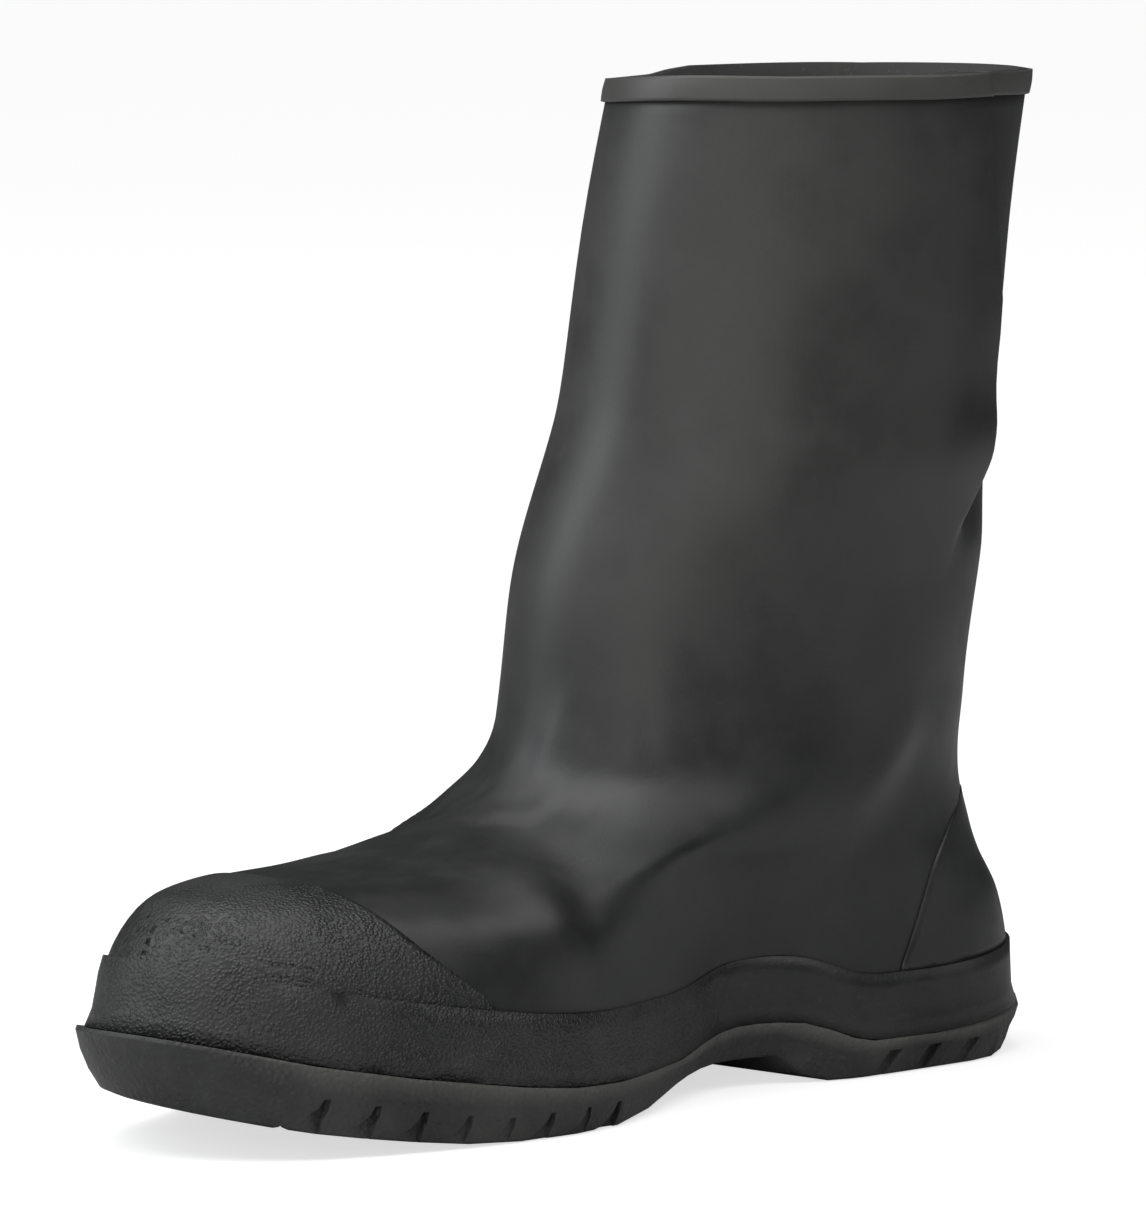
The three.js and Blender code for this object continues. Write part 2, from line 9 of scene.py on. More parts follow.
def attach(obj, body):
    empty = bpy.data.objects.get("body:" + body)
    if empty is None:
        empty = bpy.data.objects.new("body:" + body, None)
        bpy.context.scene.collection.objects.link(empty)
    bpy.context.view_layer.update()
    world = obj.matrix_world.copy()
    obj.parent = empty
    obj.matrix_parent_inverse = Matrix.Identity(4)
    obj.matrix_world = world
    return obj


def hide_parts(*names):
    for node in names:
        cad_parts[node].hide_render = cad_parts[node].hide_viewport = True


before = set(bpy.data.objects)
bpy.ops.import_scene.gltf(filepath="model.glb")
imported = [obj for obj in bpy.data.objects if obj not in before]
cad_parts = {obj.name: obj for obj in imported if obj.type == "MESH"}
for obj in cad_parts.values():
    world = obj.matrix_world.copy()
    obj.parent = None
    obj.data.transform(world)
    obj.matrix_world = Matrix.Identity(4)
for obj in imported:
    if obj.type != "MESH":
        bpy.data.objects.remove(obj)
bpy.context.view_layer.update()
scene = bpy.context.scene
scene.view_settings.view_transform = "Standard"
mm = 0.001

# Camera: a long lens from the inner side of the toe, a little above the collar
cameraPlan = {"aim": (-0.84, 0.79, 129.7), "away": 2400, "turn": 45, "height": 348,
              "lens": 270.6, "sensor": 36}


def placeCamera():
    plan = cameraPlan
    turn = math.radians(plan["turn"])
    aim = Vector(plan["aim"]) * mm
    camera = bpy.data.objects.new("camera", bpy.data.cameras.new("camera"))
    camera.data.lens = plan["lens"]
    camera.data.sensor_width = plan["sensor"]
    camera.data.clip_end = 100
    away = plan["away"] * mm
    camera.location = (aim.x + away * math.sin(turn), aim.y + away * math.cos(turn),
                       plan["height"] * mm)
    camera.rotation_mode = "QUATERNION"
    camera.rotation_quaternion = (aim - camera.location).to_track_quat("-Z", "Y")
    scene.collection.objects.link(camera)
    scene.camera = camera


placeCamera()
print("camera placed")


class Nodes:  # places nodes in a tree and links them by socket name or number
    def __init__(self, tree):
        self.tree = tree
        tree.nodes.clear()

    def add(self, kind, settings=None, **inputs):
        node = self.tree.nodes.new(kind)
        for key, value in (settings or {}).items():
            setattr(node, key, value)
        for key, value in inputs.items():
            self.feed(node, key.replace("_", " "), value)
        return node

    def feed(self, node, key, value):
        numbered = key[0] == "i" and key[1:].isdigit()
        socket = node.inputs[int(key[1:])] if numbered else node.inputs[key]
        if isinstance(value, tuple) and isinstance(value[0], bpy.types.Node):
            self.tree.links.new(value[0].outputs[value[1]], socket)
        elif isinstance(value, bpy.types.Node):
            self.tree.links.new(value.outputs[0], socket)
        else:
            socket.default_value = value

    def math(self, operation, a, b=0.0, clamp=False):
        settings = {"operation": operation, "use_clamp": clamp}
        return self.add("ShaderNodeMath", settings, i0=a, i1=b)

    def ramp(self, value, fromLow, fromHigh, toLow=0.0, toHigh=1.0):
        settings = {"interpolation_type": "SMOOTHSTEP"}
        return self.add("ShaderNodeMapRange", settings, i0=value, i1=fromLow, i2=fromHigh,
                        i3=toLow, i4=toHigh)

    def noise(self, vector, scale, detail, roughness=0.5):
        return self.add("ShaderNodeTexNoise", None, Vector=vector, Scale=scale, Detail=detail,
                        Roughness=roughness)

    def blend(self, share, a, b):  # a and b are colours or outputs of other nodes
        node = self.add("ShaderNodeMix", {"data_type": "RGBA"}, i0=share)
        for key, colour in (("i6", a), ("i7", b)):
            linked = isinstance(colour[0], bpy.types.Node)
            self.feed(node, key, colour if linked else (*colour, 1))
        return (node, 2)

    def place(self):
        return (self.add("ShaderNodeTexCoord"), "Object")

    def axes(self):
        return self.add("ShaderNodeSeparateXYZ", None, Vector=self.place())


def newGroup(name, inputs, outputs):
    group = bpy.data.node_groups.new(name, "ShaderNodeTree")
    for title, value in inputs:
        socket = group.interface.new_socket(title, in_out="INPUT", socket_type="NodeSocketFloat")
        socket.default_value = value
    for title in outputs:
        group.interface.new_socket(title, in_out="OUTPUT", socket_type="NodeSocketFloat")
    nodes = Nodes(group)
    start = nodes.add("NodeGroupInput")
    end = nodes.add("NodeGroupOutput")
    return group, nodes, start, end, nodes.place()


# In these plans a scale is a number of features to the metre, and a pair gives the values
# between which a mask comes in, with the mask's own ends where four are given
pebblePlan = {"scale": 1000.0, "wobbleScale": 300.0, "wobble": 0.5, "smooth": 0.2,
              "dome": (0.62, 0.12), "pressScale": 150.0, "press": (0.35, 0.7, 0.55, 1.0)}


def makePebbleGroup():  # rounded pebbles of uneven size, as in embossed rubber
    plan = pebblePlan
    group, n, start, end, place = newGroup("pebble", [("Size", 1.3), ("Crush", 0.5)], ["Height"])
    scale = n.math("DIVIDE", plan["scale"], (start, "Size"))
    wobble = n.noise(place, plan["wobbleScale"], 1.0)
    shift = n.add("ShaderNodeVectorMath", {"operation": "MULTIPLY_ADD"})
    n.feed(shift, "i0", (wobble, "Color"))
    shift.inputs[1].default_value = (plan["wobble"] * mm,) * 3
    n.feed(shift, "i2", place)
    cell = n.add("ShaderNodeTexVoronoi", {"feature": "SMOOTH_F1"}, Vector=shift, Scale=scale,
                 Smoothness=plan["smooth"])
    broad = n.noise(place, plan["pressScale"], 1.0)
    dome = n.ramp((cell, "Distance"), *plan["dome"])
    press = n.ramp((broad, "Fac"), *plan["press"])
    even = n.math("POWER", dome, (start, "Crush"))
    n.feed(end, "Height", n.math("MULTIPLY", even, press))
    return group


grainPlan = {"scale": 900.0, "roughness": 0.6, "stretch": (1.0, 1.0, 0.45),
             "turn": (0.5, 0.2, 0.0), "wrinkleScale": 0.55, "wrinkle": (0.0, 0.12)}


def makeGrainGroup():  # fine skin of moulded rubber, drawn out in short wrinkles
    plan = grainPlan
    group, n, start, end, place = newGroup("grain", [("Size", 1.0), ("Wrinkle", 0.5)], ["Height"])
    scale = n.math("DIVIDE", plan["scale"], (start, "Size"))
    fine = n.noise(place, scale, 4.0, plan["roughness"])
    turned = n.add("ShaderNodeMapping", None, Vector=place)
    turned.inputs["Scale"].default_value = plan["stretch"]
    turned.inputs["Rotation"].default_value = plan["turn"]
    wrinkle = n.add("ShaderNodeTexVoronoi", {"feature": "DISTANCE_TO_EDGE"}, Vector=turned,
                    Scale=n.math("MULTIPLY", scale, plan["wrinkleScale"]))
    lines = n.ramp((wrinkle, "Distance"), *plan["wrinkle"])
    both = n.math("MULTIPLY_ADD", lines, (start, "Wrinkle"))
    n.feed(both, "i2", (fine, "Fac"))
    n.feed(end, "Height", both)
    return group


bloomPlan = {"cloudScale": 26.0, "cloudRoughness": 0.62, "cloud": (0.34, 0.68),
             "speckScale": 520.0, "speckRoughness": 0.7, "speck": (0.58, 0.78)}


def makeBloomGroup():  # cloudy bloom and handling marks, broad and fine
    plan = bloomPlan
    group, n, _, end, place = newGroup("bloom", [], ["Cloud", "Speck"])
    broad = n.noise(place, plan["cloudScale"], 5.0, plan["cloudRoughness"])
    fine = n.noise(place, plan["speckScale"], 3.0, plan["speckRoughness"])
    n.feed(end, "Cloud", n.ramp((broad, "Fac"), *plan["cloud"]))
    n.feed(end, "Speck", n.ramp((fine, "Fac"), *plan["speck"]))
    return group


scuffPlan = {"turn": (0.1, 0.35, 0.8), "stretch": (1.0, 14.0, 14.0), "lineScale": 900.0,
             "line": (0.6, 0.72), "patchScale": 38.0, "patch": (0.45, 0.7)}


def makeScuffGroup():  # short scratches that run one way
    plan = scuffPlan
    group, n, start, end, place = newGroup("scuff", [("Length", 14.0), ("Amount", 0.4)], ["Mask"])
    slant = n.add("ShaderNodeMapping", None, Vector=place)
    slant.inputs["Rotation"].default_value = plan["turn"]
    slant.inputs["Scale"].default_value = plan["stretch"]
    lines = n.noise(slant, n.math("DIVIDE", plan["lineScale"], (start, "Length")), 3.0)
    patch = n.noise(place, plan["patchScale"], 2.0)
    thin = n.ramp((lines, "Fac"), *plan["line"])
    where = n.ramp((patch, "Fac"), *plan["patch"])
    mask = n.math("MULTIPLY", thin, where)
    n.feed(end, "Mask", n.math("MULTIPLY", mask, (start, "Amount")))
    return group


groups = {"pebble": makePebbleGroup(), "grain": makeGrainGroup(),
          "bloom": makeBloomGroup(), "scuff": makeScuffGroup()}


def useGroup(nodes, name, **values):
    node = nodes.add("ShaderNodeGroup", {"node_tree": groups[name]})
    for key, value in values.items():
        node.inputs[key].default_value = value
    return node


# Rubber, unless a piece says otherwise: colours are linear, heights and places in millimetres,
# the rest are shares. The mark that goes paler up and forwards between the places given is
# painted light, which leaves the low back darker as painted shade, and lowDust is dirt that
# thickens towards the floor.
rubberLook = {"dark": (0.0105, 0.0108, 0.0112), "pale": (0.021, 0.0215, 0.0215),
              "dustAndSheen": (0.16, 0.158, 0.15), "specular": 0.5, "grainSize": 1.0, "wrinkle": 0.3,
              "scuffLength": 14.0, "wearAndSheenStrength": 0.15, "dustRoughness": 0.35, "crush": 0.6,
              "paintedLightCloud": 0.85, "pebbleLeast": 0.12}


def makeRubber(name, **changes):
    look = {**rubberLook, **changes}
    material = bpy.data.materials.new(name)
    material.use_nodes = True
    n = Nodes(material.node_tree)
    output = n.add("ShaderNodeOutputMaterial")
    shader = n.add("ShaderNodeBsdfPrincipled")
    n.feed(output, "Surface", (shader, "BSDF"))
    bloom = useGroup(n, "bloom")
    cloud = (bloom, "Cloud")
    scuff = useGroup(n, "scuff", Length=look["scuffLength"], Amount=look["scuff"])
    base = n.blend(cloud, look["dark"], look["pale"])
    dusty = n.math("MULTIPLY", (bloom, "Speck"), look["speck"])
    dustAndSheen = n.math("ADD", dusty, (scuff, "Mask"), clamp=True)
    # painted light: paler up and towards the front, leaving the low back darker as painted shade
    if "paintedLight" in look:
        paintedLight = look["paintedLight"]
        place = n.axes()
        up = n.ramp((place, "Z"), paintedLight["low"] * mm, paintedLight["high"] * mm)
        forwards = n.ramp((place, "X"), paintedLight["back"] * mm, paintedLight["front"] * mm)
        paintedLightMask = n.math("MULTIPLY", up, forwards)
        paintedLightMask = n.math("MULTIPLY", paintedLightMask, n.ramp(cloud, 0.0, 1.0, look["paintedLightCloud"], 1.0))
        dustAndSheen = n.math("ADD", dustAndSheen, n.math("MULTIPLY", paintedLightMask, paintedLight["amount"]), clamp=True)
    if "lowDust" in look:
        lowDust = look["lowDust"]
        low = n.ramp((n.axes(), "Z"), lowDust["below"] * mm, 0.0, 0.0, lowDust["amount"])
        dustAndSheen = n.math("ADD", dustAndSheen, n.math("MULTIPLY", low, cloud), clamp=True)
    # real wear on raised creases, and painted highlight on the collar band and along the sole's
    # rim
    wearAndSheen = n.add("ShaderNodeAttribute", {"attribute_name": "wearAndSheen"})
    edge = n.math("MULTIPLY", (wearAndSheen, "Fac"), look["wearAndSheenStrength"])
    dustAndSheen = n.math("ADD", dustAndSheen, edge, clamp=True)
    # pale from real dust, scuffs and wear, and from painted light and painted highlight
    n.feed(shader, "Base Color", n.blend(dustAndSheen, base, look["dustAndSheen"]))
    rough = n.math("MULTIPLY_ADD", dustAndSheen, look["dustRoughness"], clamp=True)
    n.feed(rough, "i2", n.ramp(cloud, 0.0, 1.0, *look["roughness"]))
    n.feed(shader, "Roughness", rough)
    shader.inputs["Specular IOR Level"].default_value = look["specular"]

    grain = useGroup(n, "grain", Size=look["grainSize"], Wrinkle=look["wrinkle"])
    bump = n.add("ShaderNodeBump", None, Height=(grain, "Height"))
    bump.inputs["Distance"].default_value = look["grain"] * mm
    if "pebble" in look:
        pebble = useGroup(n, "pebble", Size=look["pebbleSize"], Crush=look["crush"])
        height = (pebble, "Height")
        if "pebbleFrom" in look:  # pebbles that fade out towards the waist
            ends = [x * mm for x in look["pebbleFrom"]]
            fade = n.ramp((n.axes(), "X"), *ends, look["pebbleLeast"], 1.0)
            height = n.math("MULTIPLY", height, fade)
        bump = n.add("ShaderNodeBump", None, Height=height, Normal=bump)
        bump.inputs["Distance"].default_value = look["pebble"] * mm
    n.feed(shader, "Normal", bump)
    return material


looks = {
    "upperRubber": {"roughness": (0.42, 0.5), "grain": 0.03, "grainSize": 0.75, "wrinkle": 0.25,
                    "speck": 0.04, "scuff": 0.05,
                    # painted light on the shaft, paler up and towards the front
                    "paintedLight": {"low": 70, "high": 150, "back": -135, "front": -75,
                             "amount": 0.12}},
    "smoothRubber": {"roughness": (0.38, 0.5), "grain": 0.02, "grainSize": 1.2, "wrinkle": 0.2,
                     "speck": 0.05, "scuff": 0.07, "wearAndSheenStrength": 0.35},
    "pebbledRubber": {"roughness": (0.4, 0.52), "grain": 0.02, "pebble": 0.3,
                      "pebbleSize": 0.95, "speck": 0.1, "scuff": 0.1,
                      "pale": (0.025, 0.0255, 0.0255)},
    "foxingRubber": {"roughness": (0.44, 0.55), "grain": 0.02, "pebble": 0.32,
                     "pebbleSize": 0.95, "pebbleFrom": (-35, 12), "speck": 0.12, "scuff": 0.1,
                     "pale": (0.026, 0.0265, 0.026), "lowDust": {"below": 34, "amount": 0.02}},
    "soleRubber": {"roughness": (0.5, 0.62), "grain": 0.07, "grainSize": 2.4, "wrinkle": 0.4,
                   "pebble": 0.2, "pebbleSize": 1.6, "speck": 0.12, "scuff": 0.16,
                   "scuffLength": 22.0, "wearAndSheenStrength": 0.35, "pale": (0.032, 0.0325, 0.032),
                   "lowDust": {"below": 26, "amount": 0.08}},
    "lining": {"roughness": (0.75, 0.9), "grain": 0.12, "grainSize": 1.8, "wrinkle": 0.2,
               "speck": 0.3, "scuff": 0.0, "dark": (0.02, 0.02, 0.02),
               "pale": (0.035, 0.035, 0.034)},
}
materials = {name: makeRubber(name, **look) for name, look in looks.items()}
print("materials made:", len(materials))

# Points this near are one (in metres), and triangles that bend or skew less than this, in
# degrees, become quads
meshPlan = {"merge": 1e-5, "bend": 50, "skew": 180}


def nodeMesh(node):  # a CAD node's mesh, merged, with its triangles joined back into quads
    bm = bmesh.new()
    bm.from_mesh(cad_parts[node].data)
    bmesh.ops.remove_doubles(bm, verts=bm.verts, dist=meshPlan["merge"])
    bmesh.ops.join_triangles(bm, faces=bm.faces,
                             angle_face_threshold=math.radians(meshPlan["bend"]),
                             angle_shape_threshold=math.radians(meshPlan["skew"]))
    return bm


def nodeTree(node):
    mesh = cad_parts[node].data
    return BVHTree.FromPolygons([v.co for v in mesh.vertices],
                                [tuple(p.vertices) for p in mesh.polygons])


def distances(tree, places):  # from each place to the tree's mesh, in millimetres
    return np.array([tree.find_nearest(Vector(place))[3] for place in places]) / mm


def creaseEdges(bm, plan):  # keeps the rims of a shell crisp under subdivision
    layer = bm.edges.layers.float.new("crease_edge")
    for edge in bm.edges:
        if edge.calc_face_angle(0.0) > math.radians(plan["angle"]):
            edge[layer] = plan["crease"]
    return layer


def toObject(bm, name):
    mesh = bpy.data.meshes.new(name)
    bm.to_mesh(mesh)
    bm.free()
    piece = bpy.data.objects.new(name, mesh)
    scene.collection.objects.link(piece)
    return piece


def subdivide(piece, levels):
    modifier = piece.modifiers.new("subdivision", "SUBSURF")
    modifier.levels = modifier.render_levels = levels
    modifier.use_limit_surface = False
    graph = bpy.context.evaluated_depsgraph_get()
    dense = bpy.data.meshes.new_from_object(piece.evaluated_get(graph))
    piece.modifiers.clear()
    old = piece.data
    piece.data = dense
    bpy.data.meshes.remove(old)
    return piece


def denseNode(node, name, plan):  # a node's mesh, creased and subdivided
    bm = nodeMesh(node)
    creaseEdges(bm, plan)
    return subdivide(toObject(bm, name), plan["levels"])


def setWearAndSheen(mesh, values):  # how pale each point is painted, from 0 to 1: wear on the upper's creases, painted highlight on the collar band and the sole's rim
    wearAndSheen = mesh.attributes.new("wearAndSheen", "FLOAT", "POINT")
    wearAndSheen.data.foreach_set("value", values)


def finishPiece(piece, node, names):
    for name in names:
        piece.data.materials.append(materials[name])
    piece.data.shade_smooth()
    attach(piece, "root")
    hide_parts(node)
    print("piece made:", piece.name, len(piece.data.polygons))


def smoothStep(low, high, x):
    t = np.clip((x - low) / (high - low), 0, 1)
    return t * t * (3 - 2 * t)


def coordinates(mesh):
    places = np.zeros(len(mesh.vertices) * 3)
    mesh.vertices.foreach_get("co", places)
    return places.reshape(-1, 3)


# Creases and swellings of the upper: places on the skin in millimetres, from end to end,
# how far they reach to each side, and how high they stand (below zero for a trough)
creasePlan = {
    "shinRidge": {"path": [(-28, 4, 262), (-25, 13, 237), (-21, 15, 210), (-16, 12, 184),
                           (-6, 10, 163), (4, 6, 142), (9, 0, 121), (11, -3, 100)],
                  "reach": 17, "rise": 1.3},
    "shinTrough": {"path": [(-35, 20, 258), (-29, 22, 230), (-24, 22, 202), (-17, 20, 176),
                            (-5, 17, 153), (3, 15, 132), (6, 14, 117)],
                   "reach": 13, "rise": -1.7},
    "shaftSwell": {"path": [(-52, 36, 240), (-50, 39, 205), (-44, 40, 175), (-30, 38, 150)],
                   "reach": 24, "rise": 1.0},
    "ankleSwell": {"path": [(-8, 30, 112), (-6, 30, 98), (-3, 31, 88), (6, 37, 76),
                            (18, 46, 65), (27, 52, 56)],
                   "reach": 12, "rise": 2.0},
    "heelEase": {"path": [(-114, 36, 115), (-105, 39, 102), (-87, 45, 92), (-71, 47, 85),
                          (-58, 47, 80)],
                 "reach": 16, "rise": -0.7},
    "instepEase": {"path": [(12, 0, 96), (10, 11, 93), (6, 19, 92), (-3, 28, 94)],
                   "reach": 11, "rise": 1.5},
    "instepDrop": {"path": [(22, 13, 80), (21, 23, 78), (16, 29, 77)],
                   "reach": 9, "rise": -1.1},
    "flexTrough": {"path": [(26, 8, 78), (35, 17, 75), (38, 29, 71), (44, 45, 63),
                            (46, 54, 54), (44, 57, 44)],
                   "reach": 9, "rise": -2.4},
    "flexSwell": {"path": [(48, 30, 70), (55, 41, 64), (58, 53, 55), (60, 57, 47),
                           (67, 57, 39)],
                  "reach": 12, "rise": 2.6},
    "waistHollow": {"path": [(-22, 46, 72), (-16, 46, 66), (-6, 44, 59), (8, 47, 52),
                             (26, 52, 44), (43, 56, 37)],
                    "reach": 19, "rise": -2.6},
    "vampRidge": {"path": [(12, -4, 96), (14, -6, 88), (20, -8, 82), (35, -1, 76), (52, 5, 71),
                           (68, 2, 68)],
                  "reach": 8, "rise": 1.0},
    "flexCreaseHigh": {"path": [(37, -18, 74), (31, -13, 77), (27, -10, 79), (22, -6, 82)],
                       "reach": 3.4, "rise": -1.3},
    "flexCreaseLow": {"path": [(58, -14, 69), (50, -4, 72), (42, 6, 74), (36, 9, 75),
                               (31, 15, 76)],
                      "reach": 3.6, "rise": -0.9},
    "outerFlex": {"path": [(24, -18, 78), (30, -32, 70), (34, -45, 58), (38, -54, 46)],
                  "reach": 10, "rise": -2.2},
    "outerSwell": {"path": [(2, -22, 96), (8, -32, 82), (14, -42, 68), (18, -50, 56)],
                   "reach": 12, "rise": 1.8},
    "foldCurl": {"path": [(-104, 50, 262), (-97, 50, 259), (-95, 50, 254), (-99, 50, 250),
                          (-106, 50, 249)],
                 "reach": 3.2, "rise": 0.8},
    "backTrough": {"path": [(-92, 50, 246), (-94, 51, 215), (-88, 52, 185), (-82, 50, 160)],
                   "reach": 12, "rise": -1.0},
}
# A crease keeps the share "least" of its rise at its ends, and all fade out below the collar
creaseFade = {"taper": 0.22, "least": 0.25, "collarLow": 236, "collarHigh": 263}


def creaseAmount(places):  # height in millimetres that the creases add at each place
    fade = creaseFade
    total = np.zeros(len(places))
    for plan in creasePlan.values():
        path = np.array(plan["path"], float)
        lengths = np.linalg.norm(np.diff(path, axis=0), axis=1)
        starts = np.concatenate([[0], np.cumsum(lengths)])
        nearest = np.full(len(places), np.inf)
        share = np.zeros(len(places))
        for i, length in enumerate(lengths):
            way = (path[i + 1] - path[i]) / length
            along = np.clip((places - path[i]) @ way, 0, length)
            away = np.linalg.norm(places - path[i] - along[:, None] * way, axis=1)
            closer = away < nearest
            nearest[closer] = away[closer]
            share[closer] = (starts[i] + along[closer]) / starts[-1]
        ends = smoothStep(0, fade["taper"], share) * smoothStep(1, 1 - fade["taper"], share)
        ends = fade["least"] + (1 - fade["least"]) * ends
        total += plan["rise"] * np.exp(-(nearest / plan["reach"]) ** 2) * ends
    return total * (1 - smoothStep(fade["collarLow"], fade["collarHigh"], places[:, 2]))


# The collar's edge sags and lifts round the boot: turns from the back by way of the inner
# side, in degrees, with the lift there in millimetres
collarWave = {"middle": (-93, -1), "half": (68, 46), "from": 226, "full": 264,
              "turns": [0, 24, 45, 80, 95, 130, 165, 215, 257, 264, 272, 300, 320, 360],
              "lifts": [-1.4, -1.7, -1.6, -0.7, -1.4, -1.3, -0.7, -0.2, 0, 0.9, 1.4, 0.1, -1.0,
                        -1.4]}


def collarLift(places):
    wave = collarWave
    x = (places[:, 0] - wave["middle"][0]) / wave["half"][0]
    y = (places[:, 1] - wave["middle"][1]) / wave["half"][1]
    turn = np.degrees(np.arctan2(y, -x)) % 360
    lift = np.interp(turn, wave["turns"], wave["lifts"])
    return lift * smoothStep(wave["from"], wave["full"], places[:, 2])


# The fold draws in over its foot: the shaft's middle there, which moves forward by the share
# "lean" of the way down from leanFrom, the heights and turns between which the fold draws in,
# and how far
foldEase = {"middle": (-93, -1), "half": (70, 48), "lean": 0.16, "leanFrom": 250,
            "low": 138, "lowFull": 162, "highFull": 178, "high": 212,
            "turns": (18, 50, 92, 125), "draw": 3.6}


def foldDraw(places):
    ease = foldEase
    lean = ease["lean"] * (ease["leanFrom"] - places[:, 2])
    x = (places[:, 0] - ease["middle"][0] - lean) / ease["half"][0]
    y = (places[:, 1] - ease["middle"][1]) / ease["half"][1]
    turn = np.degrees(np.arctan2(y, -x)) % 360
    start, full, fall, end = ease["turns"]
    amount = smoothStep(start, full, turn) * (1 - smoothStep(fall, end, turn))
    amount *= smoothStep(ease["low"], ease["lowFull"], places[:, 2])
    amount *= 1 - smoothStep(ease["highFull"], ease["high"], places[:, 2])
    length = np.hypot(x, y)[:, None]
    inwards = -np.column_stack([x, y, np.zeros(len(x))]) / length
    return inwards * (ease["draw"] * amount)[:, None]


# Upper: outer skin, rims and lining in one piece. A wall's normal rises less than wallRise,
# and a rim's more than rimRise and has this many creased edges at least. A raised crease goes
# pale by wornShare for each millimetre.
upperPlan = {"angle": 62, "crease": 0.75, "levels": 2, "wallRise": 0.6, "rimRise": 0.75,
             "rimEdges": 2, "wornShare": 0.1}


def outerFaces(bm, layer):  # faces reached from the toe without crossing a rim
    walls = [face for face in bm.faces if abs(face.normal.z) < upperPlan["wallRise"]]
    start = max(walls, key=lambda face: face.calc_center_median().x)
    found = {start}
    waiting = [start]
    while waiting:
        for side in waiting.pop().edges:
            if side[layer] > 0:
                continue
            for other in side.link_faces:
                if other not in found:
                    found.add(other)
                    waiting.append(other)
    return found


def isRim(face, layer):
    creased = sum(edge[layer] > 0 for edge in face.edges)
    return abs(face.normal.z) > upperPlan["rimRise"] and creased >= upperPlan["rimEdges"]


def makeUpper():
    bm = nodeMesh("upper")
    layer = creaseEdges(bm, upperPlan)
    outer = outerFaces(bm, layer)
    for face in bm.faces:  # the rims belong to the outside
        face.material_index = 0 if face in outer or isRim(face, layer) else 1
    piece = subdivide(toObject(bm, "upperShell"), upperPlan["levels"])
    mesh = piece.data
    plain = coordinates(mesh)
    skin = [tuple(p.vertices) for p in mesh.polygons if p.material_index == 0]
    side = np.full(len(plain), -1)
    side[[point for polygon in skin for point in polygon]] = 1
    normals = np.zeros(len(plain) * 3)
    mesh.vertices.foreach_get("normal", normals)
    outward = normals.reshape(-1, 3) * side[:, None]
    amount = creaseAmount(plain / mm)
    dressed = plain + outward * amount[:, None] * mm
    dressed[:, 2] += collarLift(plain / mm) * mm
    dressed += foldDraw(plain / mm) * mm
    mesh.vertices.foreach_set("co", dressed.ravel())
    mesh.update()
    setWearAndSheen(mesh, np.clip(amount * upperPlan["wornShare"], 0, 1))
    finishPiece(piece, "upper", ["upperRubber", "lining"])
    return BVHTree.FromPolygons([Vector(place) for place in plain], skin)


plainSkin = makeUpper()
foxingTree = nodeTree("foxing")
soleTree = nodeTree("outsole")

# Overlays follow the dressed skin: "inner" and "outer" are the heights of their faces over the
# plain skin, of which the inner one is sunk into the dressed skin and the outer one stands
# proud of it, or a little more where it was higher ("most"). A lap draws an edge down behind
# the foxing, within reach of it, and a flare spreads the edge that is near the sole.
overlayPlans = {
    "toe_cap": {"angle": 50, "crease": 0.7, "levels": 2, "inner": 0.75, "outer": 1.75,
                "sunk": 0.5, "proud": 0.5, "most": 1.15, "lap": 1.8, "lapReach": (0.6, 1.5)},
    "heel_patch": {"angle": 50, "crease": 0.7, "levels": 2, "inner": 0.75, "outer": 1.55,
                   "sunk": 0.5, "proud": 0.4, "most": 1.15, "lap": 1.8,
                   "lapReach": (0.6, 1.5)},
    "foxing": {"angle": 50, "crease": 0.8, "levels": 2, "inner": 0.3, "outer": 1.8,
               "sunk": 0.4, "proud": 1.6, "most": 1.15, "flare": 1.0,
               "flareReach": (0.3, 3.5)},
}


def makeOverlay(node, name, material):
    plan = overlayPlans[node]
    piece = denseNode(node, name, plan)
    mesh = piece.data
    places = coordinates(mesh)
    if "lap" in plan:
        near = 1 - smoothStep(*plan["lapReach"], distances(foxingTree, places))
        places[:, 2] -= plan["lap"] * mm * near
    feet = np.zeros_like(places)
    normals = np.zeros_like(places)
    heights = np.zeros(len(places))
    for i, place in enumerate(places):
        foot, normal, _, distance = plainSkin.find_nearest(Vector(place))
        feet[i], normals[i] = foot, normal
        heights[i] = distance / mm
    share = (heights - plan["inner"]) / (plan["outer"] - plan["inner"])
    share = np.clip(share, 0, plan["most"])
    height = -plan["sunk"] + share * (plan["sunk"] + plan["proud"])
    if "flare" in plan:
        near = 1 - smoothStep(*plan["flareReach"], distances(soleTree, places))
        height += plan["flare"] * share * near
    side = places - feet  # what lies beyond the edge of the skin stays where it is
    straight = side - normals * np.sum(side * normals, axis=1)[:, None]
    lift = (creaseAmount(feet / mm) + height) * mm
    moved = feet + straight + normals * lift[:, None]
    mesh.vertices.foreach_set("co", moved.ravel())
    mesh.update()
    setWearAndSheen(mesh, np.zeros(len(places)))
    finishPiece(piece, node, [material])


makeOverlay("toe_cap", "toeCap", "pebbledRubber")
makeOverlay("heel_patch", "heelPatch", "smoothRubber")
makeOverlay("foxing", "foxingBand", "foxingRubber")

# Collar band: a flat strip with rounded edges, painted pale all over as painted highlight for its
# upward face
bandPlan = {"angle": 62, "crease": 0.45, "levels": 2, "wearAndSheen": 0.8}


def makeBand():
    piece = denseNode("collar_band", "collarBand", bandPlan)
    places = coordinates(piece.data)
    places[:, 2] += collarLift(places / mm) * mm
    piece.data.vertices.foreach_set("co", places.ravel())
    # painted highlight over the whole band
    setWearAndSheen(piece.data, np.full(len(places), bandPlan["wearAndSheen"]))
    finishPiece(piece, "collar_band", ["smoothRubber"])


makeBand()

# Outsole: the moulded sole with its edges rounded, and a painted highlight along the top of its
# rim that fades out between two distances from the foxing
solePlan = {"merge": 2e-5, "flat": 2, "sharp": 28, "round": 0.5, "segments": 2,
            "rimHighlight": (1.7, 2.9)}


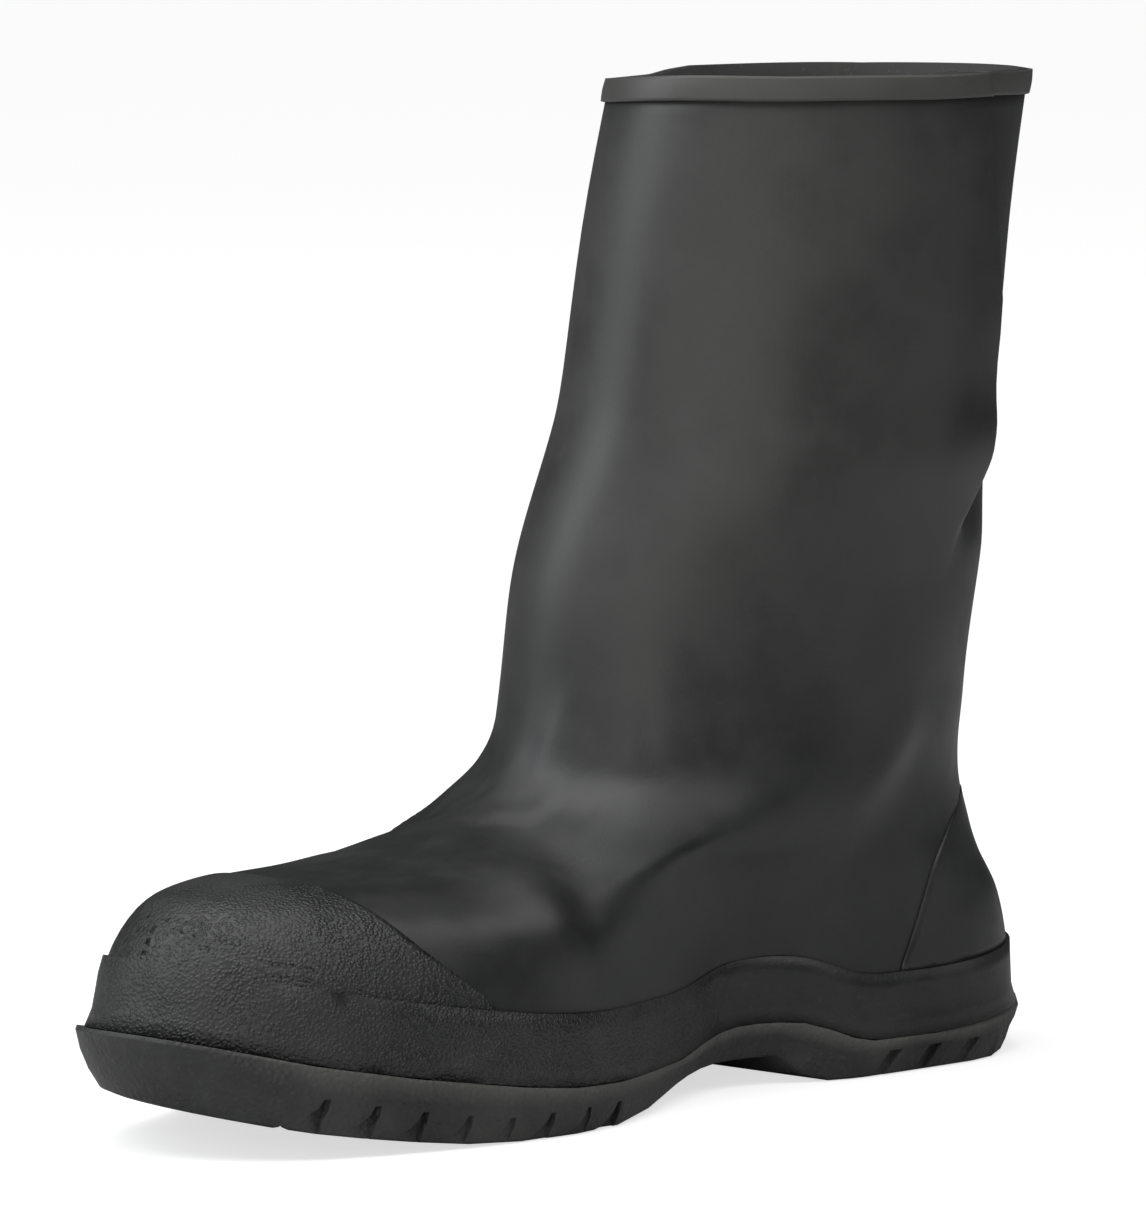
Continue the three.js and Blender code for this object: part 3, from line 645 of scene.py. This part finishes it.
def makeSole():
    bm = bmesh.new()
    bm.from_mesh(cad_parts["outsole"].data)
    bmesh.ops.remove_doubles(bm, verts=bm.verts, dist=solePlan["merge"])
    bmesh.ops.dissolve_limit(bm, angle_limit=math.radians(solePlan["flat"]),
                             verts=bm.verts, edges=bm.edges)
    sharp = [e for e in bm.edges if e.calc_face_angle(0.0) > math.radians(solePlan["sharp"])]
    bmesh.ops.bevel(bm, geom=sharp, affect="EDGES", offset=solePlan["round"] * mm, profile=0.5,
                    segments=solePlan["segments"], material=-1, clamp_overlap=True)
    piece = toObject(bm, "mouldedSole")
    away = distances(foxingTree, coordinates(piece.data))
    # painted highlight: pale next to the foxing, where the rim's top catches the light
    setWearAndSheen(piece.data, 1 - smoothStep(*solePlan["rimHighlight"], away))
    finishPiece(piece, "outsole", ["soleRubber"])


makeSole()

# Insole: the foot bed, rounded at its edge
insolePlan = {"angle": 50, "crease": 0.6, "levels": 1}


def makeInsole():
    piece = denseNode("insole", "footBed", insolePlan)
    setWearAndSheen(piece.data, np.zeros(len(piece.data.vertices)))
    finishPiece(piece, "insole", ["lining"])


makeInsole()

# The floor lies a hair under the sole and glows for the camera, from glowNear round the boot
# to glowFar in the distance. The lamps look at a point "middle" high.
studioPlan = {"floorSize": 60, "floorDrop": 0.2, "floorColour": (0.6, 0.6, 0.6),
              "floorRoughness": 0.9, "glowNear": 0.66, "glowFar": 0.93,
              "nearTo": 0.7, "farFrom": 3.2, "sky": (0.95, 0.98, 1.0), "skyStrength": 0.05,
              "middle": 120}
# Softboxes: where they stand as a turn from the camera's side (to the left of the picture),
# a rise over the floor and a distance, then width, height and brightness
lightPlan = {
    "key": {"turn": 78, "rise": 28, "away": 2.0, "size": (1.5, 1.5), "radiance": 2.8,
            "colour": (0.96, 0.98, 1.0)},
    "fill": {"turn": 4, "rise": 11, "away": 2.9, "size": (2.2, 1.2), "radiance": 2.5,
             "colour": (1.0, 1.0, 0.97)},
    "side": {"turn": -72, "rise": 52, "away": 2.3, "size": (1.7, 1.5), "radiance": 1.9,
             "colour": (1.0, 1.0, 1.0)},
    "top": {"turn": 60, "rise": 74, "away": 2.0, "size": (2.0, 2.0), "radiance": 3.0,
            "colour": (1.0, 1.0, 1.0)},
}


def makeFloor():
    plan = studioPlan
    bm = bmesh.new()
    bmesh.ops.create_grid(bm, x_segments=1, y_segments=1, size=plan["floorSize"] / 2)
    bmesh.ops.translate(bm, verts=bm.verts, vec=(0, 0, -plan["floorDrop"] * mm))
    floor = toObject(bm, "studioFloor")
    material = bpy.data.materials.new("studioFloor")
    material.use_nodes = True
    n = Nodes(material.node_tree)
    output = n.add("ShaderNodeOutputMaterial")
    shader = n.add("ShaderNodeBsdfPrincipled")
    n.feed(output, "Surface", (shader, "BSDF"))
    shader.inputs["Base Color"].default_value = (*plan["floorColour"], 1)
    shader.inputs["Roughness"].default_value = plan["floorRoughness"]
    shader.inputs["Specular IOR Level"].default_value = 0.0
    shader.inputs["Emission Color"].default_value = (1, 1, 1, 1)
    far = n.add("ShaderNodeVectorMath", {"operation": "LENGTH"}, i0=n.place())
    glow = n.ramp((far, "Value"), plan["nearTo"], plan["farFrom"],
                  plan["glowNear"], plan["glowFar"])
    seen = n.add("ShaderNodeLightPath")  # the glow is for the picture and doesn't light the boot
    n.feed(shader, "Emission Strength", n.math("MULTIPLY", glow, (seen, "Is Camera Ray")))
    floor.data.materials.append(material)


def makeLamp(name, plan):
    light = bpy.data.lights.new(name, "AREA")
    light.shape = "RECTANGLE"
    light.size, light.size_y = plan["size"]
    light.energy = plan["radiance"] * math.pi * light.size * light.size_y
    light.color = plan["colour"]
    lamp = bpy.data.objects.new(name, light)
    turn = math.radians(cameraPlan["turn"] + plan["turn"])
    rise = math.radians(plan["rise"])
    flat = plan["away"] * math.cos(rise)
    middle = Vector((0, 0, studioPlan["middle"] * mm))
    lamp.location = middle + Vector((flat * math.sin(turn), flat * math.cos(turn),
                                     plan["away"] * math.sin(rise)))
    lamp.rotation_mode = "QUATERNION"
    lamp.rotation_quaternion = (middle - lamp.location).to_track_quat("-Z", "Y")
    scene.collection.objects.link(lamp)


def makeStudio():
    makeFloor()
    world = bpy.data.worlds.new("studio")
    scene.world = world
    world.use_nodes = True
    background = world.node_tree.nodes["Background"]
    background.inputs["Color"].default_value = (*studioPlan["sky"], 1)
    background.inputs["Strength"].default_value = studioPlan["skyStrength"]
    for name, plan in lightPlan.items():
        makeLamp(name, plan)


makeStudio()
print("studio made")
